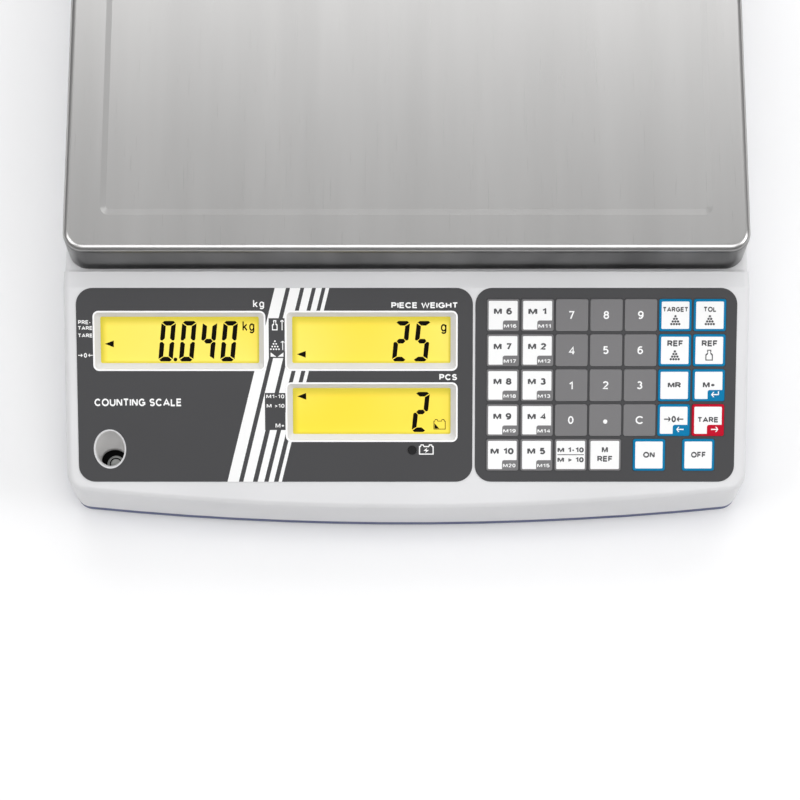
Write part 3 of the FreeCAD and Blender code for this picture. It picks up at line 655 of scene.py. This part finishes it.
def segment_outlines():
    """The seven bars of a digit, with mitred ends, from its lower left corner."""
    w, h = DIGIT
    t = STROKE
    gap = 0.12
    mid = h / 2
    top = [(0.62 * t, h), (w - 0.62 * t, h), (w - 0.2 * t, h - 0.34 * t), (w - t - gap, h - t),
           (t + gap, h - t), (0.2 * t, h - 0.34 * t)]
    left = [(0.02 * t, h - 0.52 * t), (t - gap * 0.3, h - t - 2 * gap), (t, mid + 0.62 * t),
            (0.55 * t, mid + 0.16 * t), (0.18 * t, mid + 0.16 * t), (0, mid + 0.42 * t)]
    middle = [(0.62 * t, mid), (t + gap, mid + 0.5 * t), (w - t - gap, mid + 0.5 * t),
              (w - 0.62 * t, mid), (w - t - gap, mid - 0.5 * t), (t + gap, mid - 0.5 * t)]
    across = [(w - x, y) for x, y in left]
    return {
        "a": top, "d": [(x, h - y) for x, y in top], "f": left, "b": across,
        "e": [(x, h - y) for x, y in left], "c": [(x, h - y) for x, y in across], "g": middle,
    }


def digit(character, left, foot):
    """Outlines of one slanted seven-segment digit."""
    bars = segment_outlines()
    outlines = []
    for name in DIGIT_SEGMENTS[character]:
        outlines.append([(left + x + y * LEAN, foot + y) for x, y in bars[name]])
    return outlines


def pointer(u, v, long, tall):
    """Solid triangle that points left."""
    return [(u - long / 2, -v), (u + long / 2, -v - tall / 2), (u + long / 2, -v + tall / 2)]


def screen(name, centre, outlines, words):
    """Lit reflector and its dark segments at the floor of one recess."""
    u, v = centre
    half_u = GLASS[0] / 2 - CLEAR
    half_v = GLASS[1] / 2 - CLEAR
    floor = -GLASS_DEPTH
    ink = floor + LAYER
    glow = sheet([block(u - half_u, u + half_u, -v - half_v, -v + half_v)], floor, ink)
    glow.uv_layers.new(name="across")
    for loop in glow.loops:
        co = glow.vertices[loop.vertex_index].co
        across = ((co.x - u) / (2 * half_u) + 0.5, (co.y + v) / (2 * half_v) + 0.5)
        glow.uv_layers[0].data[loop.index].uv = across
    parts = [(glow, LCD), (sheet(outlines, ink, ink + INK), SEGMENT)]
    for text, word_u, word_v, height, width in words:
        parts.append((lettering(text, word_u, -word_v, height, ink, width, 0.15), SEGMENT))
    piece("screen_" + name, parts, PANEL, "base")


def screens():
    """The three displays with their digits and marks."""
    weight = []
    for i, character in enumerate("0040"):
        weight += digit(character, -109.1 + i * DIGIT_PITCH, DIGIT_FOOT)
    weight.append(dot(-101.5, DIGIT_FOOT + 0.85, 0.85))
    weight.append(pointer(-130.4, 25.1, 3.9, 3.0))
    screen("weight", WINDOWS["weight"], weight, [("kg", -69.3, 17.8, 5.3, 5.2)])

    piece_digits = digit("2", -6.5, DIGIT_FOOT) + digit("5", -6.3 + DIGIT_PITCH, DIGIT_FOOT)
    piece_digits.append(pointer(-46.2, 29.7, 3.9, 3.0))
    screen("piece", WINDOWS["piece"], piece_digits, [("g", 16.3, 18.5, 4.4, 2.5)])

    count = digit("2", 2.2, DIGIT_FOOT + LOWER_DISPLAY)
    count.append(pointer(-46.1, 48.4, 3.9, 3.0))
    battery_sign = [battery_outline(14.6, 60.9, 5.3, 4.6), battery_outline(14.6, 60.9, 5.3, 4.6, 0.3),
                    [(12.4, -60.4), (14.4, -62.8), (12.4, -62.8)]]
    screen("count", WINDOWS["count"], count + battery_sign, [])


def window_rims():
    """Raised white rim round each display mouth, with a faint painted glow."""
    parts = []
    for centre in WINDOWS.values():
        outlines = [window_outline(centre, inset) for inset in (0.04, RIM)]
        parts.append((sheet(outlines, -RIM, FILM + 0.05), RIM_WHITE_PAINTED_GLOW))
    piece("window_rims", parts, PANEL, "base")


screens()
window_rims()


# ---------------------------------------------------------------- keys

HALF = KEY / 2
TAG = (6.8, 4.3)           # coloured flag in a key's lower right corner
THIN_BORDER = 0.8          # coloured border round a key's white face
THICK_BORDER = 1.08


def key_place(name):
    """Place in the middle of a key's top, turned with the panel; in metres."""
    back = PANEL.inverted()
    spots = [back @ vertex.co for vertex in NODES[name].data.vertices]
    low = Vector(min(spot[i] for spot in spots) for i in range(3))
    high = Vector(max(spot[i] for spot in spots) for i in range(3))
    return PANEL @ Matrix.Translation(((low.x + high.x) / 2, (low.y + high.y) / 2, high.z))


def tag_outline(border):
    """Corner flag at the lower right of a key."""
    x0 = HALF - border - TAG[0] + 0.4
    y1 = -HALF + border + TAG[1] - 0.3
    edge = HALF - border + 0.12
    return [(x0, -edge), (edge, -edge), (edge, y1)] + arc(x0 + 1.0, y1 - 1.0, 1.0, 90, 180, 5)


def key_face(name, border, ink, texts, marks=(), flag=None):
    """White face with its legend; flag is (marks, text) printed on a corner tag."""
    parts = []
    half = HALF - border
    parts.append((sheet([rounded(-half, half, -half, half, 0.45, 3)], 0, INK), PRINT_WHITE))
    if marks:
        parts.append((sheet(list(marks), INK, 2 * INK), PRINT_DARK))
    for text, x, y, height, width in texts:
        parts.append((lettering(text, x, y, height, INK, width, 0.25), PRINT_DARK))
    if flag:
        flag_marks, flag_text = flag
        parts.append((sheet([tag_outline(border)], INK, 2 * INK), ink))
        if flag_marks:
            parts.append((sheet(list(flag_marks), 2 * INK, 3 * INK), PRINT_WHITE))
        if flag_text:
            x = HALF - border - TAG[0] / 2 + 0.2
            y = -HALF + border + TAG[1] / 2 - 0.55
            parts.append((lettering(flag_text, x, y, 1.65, 2 * INK, 5.5, 0.19), PRINT_WHITE))
    paint(NODES[name], ink)
    piece(name + "_legend", parts, key_place(name), name)


def digit_key(name, text, mark=None):
    """Grey key with a white character, or a mark in its place."""
    paint(NODES[name], PRINT_GREY)
    if mark:
        mesh = sheet([mark], 0, INK)
    else:
        mesh = lettering(text, -0.1, 0.1, 3.55, 0, None, 0.175)
    piece(name + "_legend", [(mesh, PRINT_WHITE)], key_place(name), name)


def keypad():
    """All the keys: grey digits, memory keys with grey borders, function keys with coloured ones."""
    for i in range(10):
        digit_key("key_%d" % i, str(i))
    digit_key("key_point", "", dot(0, -0.6, 0.95))
    digit_key("key_clear", "C")

    for i in range(1, 11):
        width = 10.2 if i == 10 else 7.9
        key_face("key_m%d" % i, THIN_BORDER, PRINT_GREY, [("M %d" % i, -0.1, 1.75, 2.95, width)],
                 flag=((), "M%d" % (i + 10)))
    key_face("key_memory_bank", THIN_BORDER, PRINT_GREY,
             [("M 1-10", 0, 2.3, 2.4, 11.6), ("M > 10", 0, -2.1, 2.4, 11.6)],
             [block(-5.8, 5.8, -0.05, 0.3)])
    key_face("key_memory_reference", THIN_BORDER, PRINT_GREY,
             [("M", 0, 2.3, 2.6, 2.7), ("REF", 0, -1.7, 2.6, 6.5)])

    heap = pyramid(0, -3.9, 1.15, 0.53)
    key_face("key_target", THICK_BORDER, PRINT_BLUE, [("TARGET", 0, 2.6, 2.3, 10.7)], heap)
    key_face("key_tolerance", THICK_BORDER, PRINT_BLUE, [("TOL", 0, 2.6, 2.3, 5.2)], heap)
    key_face("key_reference_count", THICK_BORDER, PRINT_BLUE, [("REF", 0, 3.1, 2.7, 6.7)], heap)
    key_face("key_reference_weight", THICK_BORDER, PRINT_BLUE, [("REF", 0, 3.1, 2.7, 6.7)],
             weight_symbol(0, -2.1, 4.8))
    key_face("key_memory_recall", THICK_BORDER, PRINT_BLUE, [("MR", 0, 0.2, 2.5, 5.7)])
    key_face("key_on", THICK_BORDER, PRINT_BLUE, [("ON", 0, 0.1, 2.7, 5.1)])
    key_face("key_off", THICK_BORDER, PRINT_BLUE, [("OFF", 0, 0.1, 2.7, 6.3)])

    flag_x = HALF - THICK_BORDER - TAG[0] / 2 + 0.3
    flag_y = -HALF + THICK_BORDER + TAG[1] / 2 - 0.2
    left_arrow = arrow(flag_x, flag_y, 3.0, 180, 0.5, 1.15)
    right_arrow = arrow(flag_x, flag_y, 3.0, 0, 0.5, 1.15)
    hook = [(flag_x + 1.7, flag_y + 1.4), (flag_x + 1.2, flag_y + 1.4),
            (flag_x + 1.2, flag_y + 0.25), (flag_x + 1.7, flag_y - 0.25)]
    key_face("key_memory_add", THICK_BORDER, PRINT_BLUE, [("M+", 0, 0.2, 2.5, 5.1)],
             flag=((left_arrow, hook), None))
    key_face("key_zero", THICK_BORDER, PRINT_BLUE, [("0", 0, 0.5, 2.9, 2.0)],
             [arrow(-2.9, 0.5, 2.7, 0, 0.55, 1.0), arrow(2.9, 0.5, 2.7, 180, 0.55, 1.0)],
             flag=((left_arrow,), None))
    key_face("key_tare", THICK_BORDER, PRINT_RED, [("TARE", 0, 0.3, 2.6, 8.7)],
             flag=((right_arrow,), None))


keypad()


# ---------------------------------------------------------------- bubble level

ROUND_STEPS = 48           # corners of the level's round pieces


def tube_mesh(radius, low, high, wall):
    """Upright ring, in millimetres."""
    return sheet([dot(0, 0, radius, ROUND_STEPS), dot(0, 0, radius - wall, ROUND_STEPS)], low, high)


def dome_mesh(radius, low, rise):
    """Closed shallow dome on a flat base."""
    rings, steps = 8, 40
    shape = bmesh.new()
    rows = []
    for i in range(rings):
        turn = math.pi / 2 * i / rings
        z = low + rise * math.sin(turn)
        circle = dot(0, 0, radius * math.cos(turn), steps)
        rows.append([shape.verts.new((x, y, z)) for x, y in circle])
    shape.faces.new(list(reversed(rows[0])))
    tip = shape.verts.new((0, 0, low + rise))
    for i in range(steps):
        j = (i + 1) % steps
        for lower, upper in zip(rows, rows[1:]):
            shape.faces.new((lower[i], lower[j], upper[j], upper[i]))
        shape.faces.new((rows[-1][i], rows[-1][j], tip))
    for face in shape.faces:
        face.smooth = True
    mesh = bpy.data.meshes.new("dome")
    shape.to_mesh(mesh)
    shape.free()
    return mesh


def shifted(mesh, offset):
    """The mesh, moved sideways."""
    mesh.transform(Matrix.Translation((*offset, 0)))
    return mesh


def funnel_skin(shape, upper, lower, thick, rows):
    """Rows of vertices from the upper ring to the lower one, moved outwards by thick."""
    middle = sum(lower, Vector()) / len(lower)
    skin = []
    for row in range(rows + 1):
        share = row / rows
        ring_points = []
        for top, foot in zip(upper, lower):
            across = top.xy.lerp(foot.xy, share ** 1.6)
            across += (across - middle.xy).normalized() * thick
            height = top.z + (foot.z - top.z) * share
            ring_points.append(shape.verts.new((across.x, across.y, height)))
        skin.append(ring_points)
    return skin


def funnel(upper, lower, wall):
    """Closed thin bowl between two rings of points; it bulges outwards at mid-height."""
    rows = 10
    shape = bmesh.new()
    inner = funnel_skin(shape, upper, lower, 0.0, rows)
    outer = funnel_skin(shape, upper, lower, wall, rows)
    count = len(upper)
    for i in range(count):
        j = (i + 1) % count
        for row in range(rows):
            shape.faces.new((inner[row][i], inner[row][j], inner[row + 1][j], inner[row + 1][i]))
            shape.faces.new((outer[row][j], outer[row][i], outer[row + 1][i], outer[row + 1][j]))
        shape.faces.new((inner[0][j], inner[0][i], outer[0][i], outer[0][j]))
        shape.faces.new((inner[rows][i], inner[rows][j], outer[rows][j], outer[rows][i]))
    for face in shape.faces:
        face.smooth = True
    bmesh.ops.recalc_face_normals(shape, faces=shape.faces[:])
    mesh = bpy.data.meshes.new("funnel")
    shape.to_mesh(mesh)
    shape.free()
    return mesh


def level_fluid():
    """Pale fluid in the vial's dome, slightly uneven."""
    made, tree, shader = new_material("level_fluid", (0.42, 0.43, 0.42), 0.15)
    tone = ramp(tree, noise(tree, 300.0), (0.3, 0.31, 0.3), (0.55, 0.56, 0.55))
    tree.links.new(tone, shader.inputs["Base Color"])
    return made


def level():
    """Bubble level in its well, under a clear oval window."""
    low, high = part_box("level_vial")
    radius = (high.x - low.x) / 2 / MM
    axis_x = (high.x + low.x) / 2
    axis_y = crease.y - LEVEL_CENTRE[1] * MM * math.cos(SLOPE)
    bottom = low.z / MM
    holder_top = bottom + HOLDER_HEIGHT
    # The well's metal glows faintly: painted light that brightens it.
    metal = moulded("level_metal_painted_glow", (0.72, 0.71, 0.70), 0.3, contrast=0.2, Metallic=0.25,
                    Emission_Color=(1, 1, 1, 1), Emission_Strength=0.05)
    place = Matrix.Translation((axis_x, axis_y, 0))
    rim = tube_mesh(radius, holder_top, holder_top + HOLDER_RIM[1], HOLDER_RIM[0])
    eye = dome_mesh(EYE_SIZE[0], holder_top, EYE_SIZE[1])
    ring_low, ring_high = EYE_RING_SPAN
    eye_ring = tube_mesh(EYE_RING[0], holder_top + ring_low, holder_top + ring_high, EYE_RING[1])
    parts = [
        (sheet([dot(0, 0, radius, ROUND_STEPS)], bottom, holder_top), HOLDER_BLACK),
        (rim, HOLDER_BLACK),
        (shifted(eye, EYE), level_fluid()),
        (shifted(eye_ring, EYE), HOLDER_BLACK),
    ]
    vial = piece("level_vial_body", parts, place, "base")
    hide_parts("level_vial")

    mouth = []
    for x, y in oval(LEVEL_CENTRE[0], -LEVEL_CENTRE[1], LEVEL_MOUTH, ROUND_STEPS):
        spot = PANEL @ (Vector((x, y, -LEVEL_WINDOW)) * MM)
        mouth.append(place.inverted() @ spot / MM)
    throat = []
    for x, y in oval(THROAT[0], THROAT[1], THROAT_SIZE, ROUND_STEPS):
        throat.append(Vector((x, y, holder_top + THROAT_RISE)))
    piece("level_well", [(funnel(mouth, throat, WELL_WALL), metal)], place, "base")


level()


# ---------------------------------------------------------------- floor, light and camera

CAMERA_AIM = Vector((-0.00285, -0.12155, 0.060))
CAMERA_TILT = math.radians(74.2)     # below the horizon
CAMERA_DISTANCE = 1.1551
LENS = 118.494                       # focal length in millimetres, for the sensor below
SENSOR = 36.0


def floor():
    """Plain pale floor, 8 m across."""
    data = bpy.data.meshes.new("floor")
    shape = bmesh.new()
    bmesh.ops.create_grid(shape, x_segments=1, y_segments=1, size=4.0)
    shape.to_mesh(data)
    shape.free()
    ground = bpy.data.objects.new("floor", data)
    bpy.context.scene.collection.objects.link(ground)
    made, tree, shader = new_material("floor_white", (0.92, 0.92, 0.925), 0.8)
    tone = ramp(tree, noise(tree, 3.0), (0.915, 0.915, 0.92), (0.93, 0.93, 0.935))
    tree.links.new(tone, shader.inputs["Base Color"])
    data.materials.append(made)


def softbox(name, place, target, size, power):
    """Rectangular light at a place, turned to a target."""
    data = bpy.data.lights.new(name, "AREA")
    data.shape = "RECTANGLE"
    data.size, data.size_y = size
    data.energy = power
    lamp = bpy.data.objects.new(name, data)
    lamp.location = place
    lamp.rotation_euler = (Vector(target) - Vector(place)).to_track_quat("-Z", "Y").to_euler()
    bpy.context.scene.collection.objects.link(lamp)


def studio():
    """White surround, brighter overhead, and four softboxes."""
    world = bpy.data.worlds.new("studio")
    world.use_nodes = True
    tree = world.node_tree
    background = tree.nodes["Background"]
    background.inputs["Color"].default_value = (1, 1, 1, 1)
    coords = tree.nodes.new("ShaderNodeTexCoord")
    split = tree.nodes.new("ShaderNodeSeparateXYZ")
    tree.links.new(coords.outputs["Generated"], split.inputs["Vector"])
    sky = spread(tree, split.outputs["Z"], 0.10, 0.50)
    tree.links.new(sky, background.inputs["Strength"])
    bpy.context.scene.world = world
    softbox("front", (0.15, -1.0, 2.2), (0, -0.05, 0), (1.8, 1.2), 18.0)
    softbox("back", (0.1, 0.97, 1.1), (0.05, 0.15, 0.1), (1.6, 0.9), 7.5)
    softbox("left", (-1.5, -0.25, 1.85), (0, 0, 0), (1.2, 1.2), 13.0)
    softbox("right", (1.9, -0.3, 1.5), (0, 0, 0), (1.2, 1.2), 19.0)


def camera():
    """Long lens, high in front of the scale."""
    data = bpy.data.cameras.new("camera")
    data.sensor_width = SENSOR
    data.lens = LENS
    data.clip_start = 0.05
    data.clip_end = 20.0
    eye = bpy.data.objects.new("camera", data)
    ahead = Vector((0, math.cos(CAMERA_TILT), -math.sin(CAMERA_TILT)))
    eye.location = CAMERA_AIM - CAMERA_DISTANCE * ahead
    eye.rotation_euler = (math.pi / 2 - CAMERA_TILT, 0, 0)
    bpy.context.scene.collection.objects.link(eye)
    bpy.context.scene.camera = eye


floor()
studio()
camera()
bpy.context.scene.view_settings.view_transform = "Standard"
